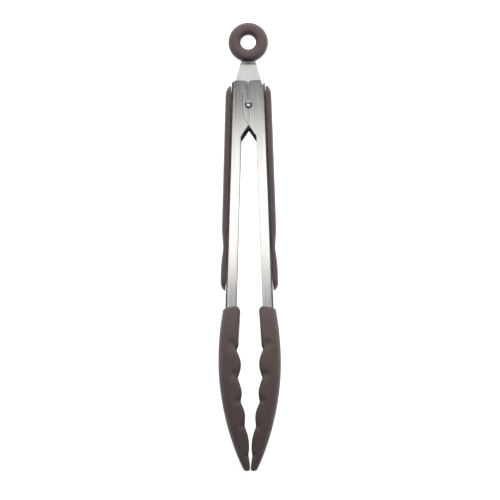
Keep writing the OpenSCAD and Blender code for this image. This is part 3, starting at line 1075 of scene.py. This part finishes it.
class TONGS_OT_pivot(bpy.types.Operator):
    """Build the rivet, its washer and the bush"""

    bl_idname = "tongs.pivot"
    bl_label = "Pivot"

    def execute(self, context):
        sizes, finish = context.scene.tongs_pivot, context.scene.tongs_finish
        steel = drawn_steel("rivet_steel", finish.bright, 0.2)
        low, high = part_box("pivot_pin")
        pin = outward(lathe("rivet", rivet_profile(sizes, high.z - PIVOT.z, low.z - PIVOT.z), 48, PIVOT))
        settle(pin, "pivot", "plain_steel", steel, "pivot_pin", angle=40)
        washer = merged_copy("pivot_washer", "rivet_washer")
        bevel(washer, mm(0.1), 2, 40)
        settle(bake_modifiers(washer), "pivot", "plain_steel", steel, "pivot_washer", angle=30)
        bush = paint(frame["nodes"]["pivot_bush"], moulded_nylon("bush_nylon", finish.core))
        return {"FINISHED"}


def leg_path(sizes, arms, side, height):
    """From the coil's side down to the web, then along it, as points in the frame."""
    lean = Matrix.Rotation(arms.splay, 4, "Z")
    gap = sizes.wire + mm(0.12)
    web_x = arms.edge - arms.sheet - gap
    meet = lean @ Vector((web_x, -sizes.leg, 0))
    foot = lean @ Vector((web_x, -sizes.leg - sizes.foot, 0))
    start = Vector((sizes.coil, 0, 0))
    before, after = meet.lerp(start, 0.16), meet.lerp(foot, 0.5)
    bend = bezier(before, before.lerp(meet, 0.7), after.lerp(meet, 0.7), after, 10)
    path = [start, start.lerp(before, 0.5), *(Vector(p) for p in bend), foot]
    return [PIVOT + Vector((side * p.x, p.y, height)) for p in path]


class TONGS_OT_spring(bpy.types.Operator):
    """Build the torsion spring: its coil, and a leg to each arm"""

    bl_idname = "tongs.spring"
    bl_label = "Torsion spring"

    def execute(self, context):
        sizes, arms = context.scene.tongs_pivot, context.scene.tongs_arms
        wire = drawn_steel("spring_steel", context.scene.tongs_finish.bright, 0.3)
        height = sizes.coil_pitch * sizes.turns
        coil = coil_tree().grow(
            "spring_coil", Radius=sizes.coil, Height=height, Turns=sizes.turns, Wire=sizes.wire, Material=wire
        )
        place = Matrix.Translation(PIVOT - Vector((0, 0, height / 2)))
        settle(coil, "pivot", "plain_steel", wire, "torsion_spring", space=place, angle=50)
        for name, side in SIDES.items():
            path = leg_path(sizes, arms, side, -side * height / 2)
            leg = outward(tube(f"spring_leg_{name}", path, sizes.wire))
            settle(leg, None, "plain_steel", wire, "torsion_spring", angle=50)
            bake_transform(leg)
        return {"FINISHED"}


class TONGS_OT_head_rivets(bpy.types.Operator):
    """Finish the rivets that hold the cores, under the silicone"""

    bl_idname = "tongs.head_rivets"
    bl_label = "Head rivets"

    def execute(self, context):
        steel = drawn_steel("head_rivet_steel", context.scene.tongs_finish.bright)
        for name in SIDES:
            rivets = paint(frame["nodes"][f"head_rivets_{name}"], steel)
        return {"FINISHED"}


# ---- stage ----


def studio_world():
    """A dim room that is brighter beyond the ring than behind the heads, and dark to both sides."""
    world = bpy.data.worlds.new("studio")
    world.use_nodes = True
    nodes, link = world.node_tree.nodes, world.node_tree.links.new
    coords = nodes.new("ShaderNodeTexCoord")
    split = nodes.new("ShaderNodeSeparateXYZ")
    ramp = nodes.new("ShaderNodeValToRGB")
    link(coords.outputs["Generated"], split.inputs["Vector"])
    link(spread(nodes, link, split.outputs["Y"], 0.0, 1.0, -1.0, 1.0), ramp.inputs["Fac"])
    link(ramp.outputs["Color"], nodes["Background"].inputs["Color"])
    steps = ramp.color_ramp.elements
    steps[0].position, steps[0].color = 0.0, (0.06, 0.06, 0.06, 1)
    steps[1].position, steps[1].color = 1.0, (1.1, 1.1, 1.1, 1)
    for place, level in ((0.42, 0.1), (0.49, 0.4), (0.54, 0.36), (0.6, 0.11), (0.74, 0.14)):
        steps.new(place).color = (level, level, level, 1)
    aside = nodes.new("ShaderNodeMath")
    aside.operation = "ABSOLUTE"
    link(split.outputs["X"], aside.inputs[0])
    dim = spread(nodes, link, aside.outputs["Value"], 1.0, 0.35, 0.3, 0.8)
    link(dim, nodes["Background"].inputs["Strength"])
    return world


def soft_box(name, place, aim, size, power):
    data = bpy.data.lights.new(name, "AREA")
    data.shape, data.energy = "RECTANGLE", power
    data.size, data.size_y = size
    lamp = new_object(name, data)
    lamp.location = place
    lamp.rotation_mode = "QUATERNION"
    lamp.rotation_quaternion = (Vector(aim) - Vector(place)).to_track_quat("-Z", "Y")
    return lamp


def overhead_camera(stage):
    data = bpy.data.cameras.new("camera")
    camera = new_object("camera", data)
    place = Vector((stage.camera_x, stage.camera_y, stage.camera_z))
    aim = Vector((stage.aim_x, stage.aim_y, PIVOT.z))
    back = (place - aim).normalized()
    right = Vector((0, 1, 0)).cross(back).normalized()
    upright = Matrix((right, back.cross(right), back)).transposed().to_4x4()
    camera.matrix_world = Matrix.Translation(place) @ upright @ Matrix.Rotation(stage.roll, 4, "Z")
    data.sensor_width = 36.0
    data.lens = data.sensor_width * (place - aim).length / stage.view_w
    data.clip_start, data.clip_end = 0.05, 20.0
    bpy.context.scene.camera = camera


class TONGS_OT_stage(bpy.types.Operator):
    """Set the pale floor, the soft light and the camera"""

    bl_idname = "tongs.stage"
    bl_label = "Stage"

    def execute(self, context):
        stage, finish = context.scene.tongs_stage, context.scene.tongs_finish
        reach, floor_z = 6.0, CAD_LOW.z - mm(0.2)
        corners = [(-reach, -reach), (reach, -reach), (reach, reach), (-reach, reach)]
        floor = from_points("floor", [(x, y, floor_z) for x, y in corners], [(0, 1, 2, 3)])
        floor.data.materials.append(painted_floor(finish.floor))
        context.scene.world = studio_world()
        soft_box(
            "key", place=(-0.01, 0.154, 0.95), aim=(0, 0.04, 0), size=(0.4, 0.18), power=stage.key_power
        )
        side = soft_box(
            "side", place=(0.15, 0.75, 0.75), aim=(0, 0.05, 0), size=(0.5, 0.5), power=stage.side_power
        )
        side.visible_glossy = False
        overhead_camera(stage)
        context.scene.view_settings.view_transform = "Standard"
        return {"FINISHED"}


OPERATORS = (
    TONGS_OT_arms,
    TONGS_OT_heads,
    TONGS_OT_grips,
    TONGS_OT_lock_tab,
    TONGS_OT_ring,
    TONGS_OT_pivot,
    TONGS_OT_spring,
    TONGS_OT_head_rivets,
    TONGS_OT_stage,
)


class TONGS_PT_panel(bpy.types.Panel):
    """The tongs' pieces and their sizes"""

    bl_idname = "TONGS_PT_panel"
    bl_label = "Kitchen tongs"
    bl_space_type = "VIEW_3D"
    bl_region_type = "UI"
    bl_category = "Tongs"

    def draw(self, context):
        for operator in OPERATORS:
            self.layout.operator(operator.bl_idname)
        for group, settings in GROUPS.items():
            box = self.layout.box()
            box.label(text=settings.__doc__)
            for label in settings.__annotations__:
                box.prop(getattr(context.scene, group), label)


CLASSES = (*GROUPS.values(), *OPERATORS, TONGS_PT_panel)


def register():
    for cls in CLASSES:
        bpy.utils.register_class(cls)
    for group, settings in GROUPS.items():
        setattr(bpy.types.Scene, group, PointerProperty(type=settings))


def unregister():
    for group in GROUPS:
        delattr(bpy.types.Scene, group)
    for cls in reversed(CLASSES):
        bpy.utils.unregister_class(cls)


def main():
    register()
    for operator in OPERATORS:
        group, name = operator.bl_idname.split(".")
        getattr(getattr(bpy.ops, group), name)()


if __name__ == "__main__":
    main()
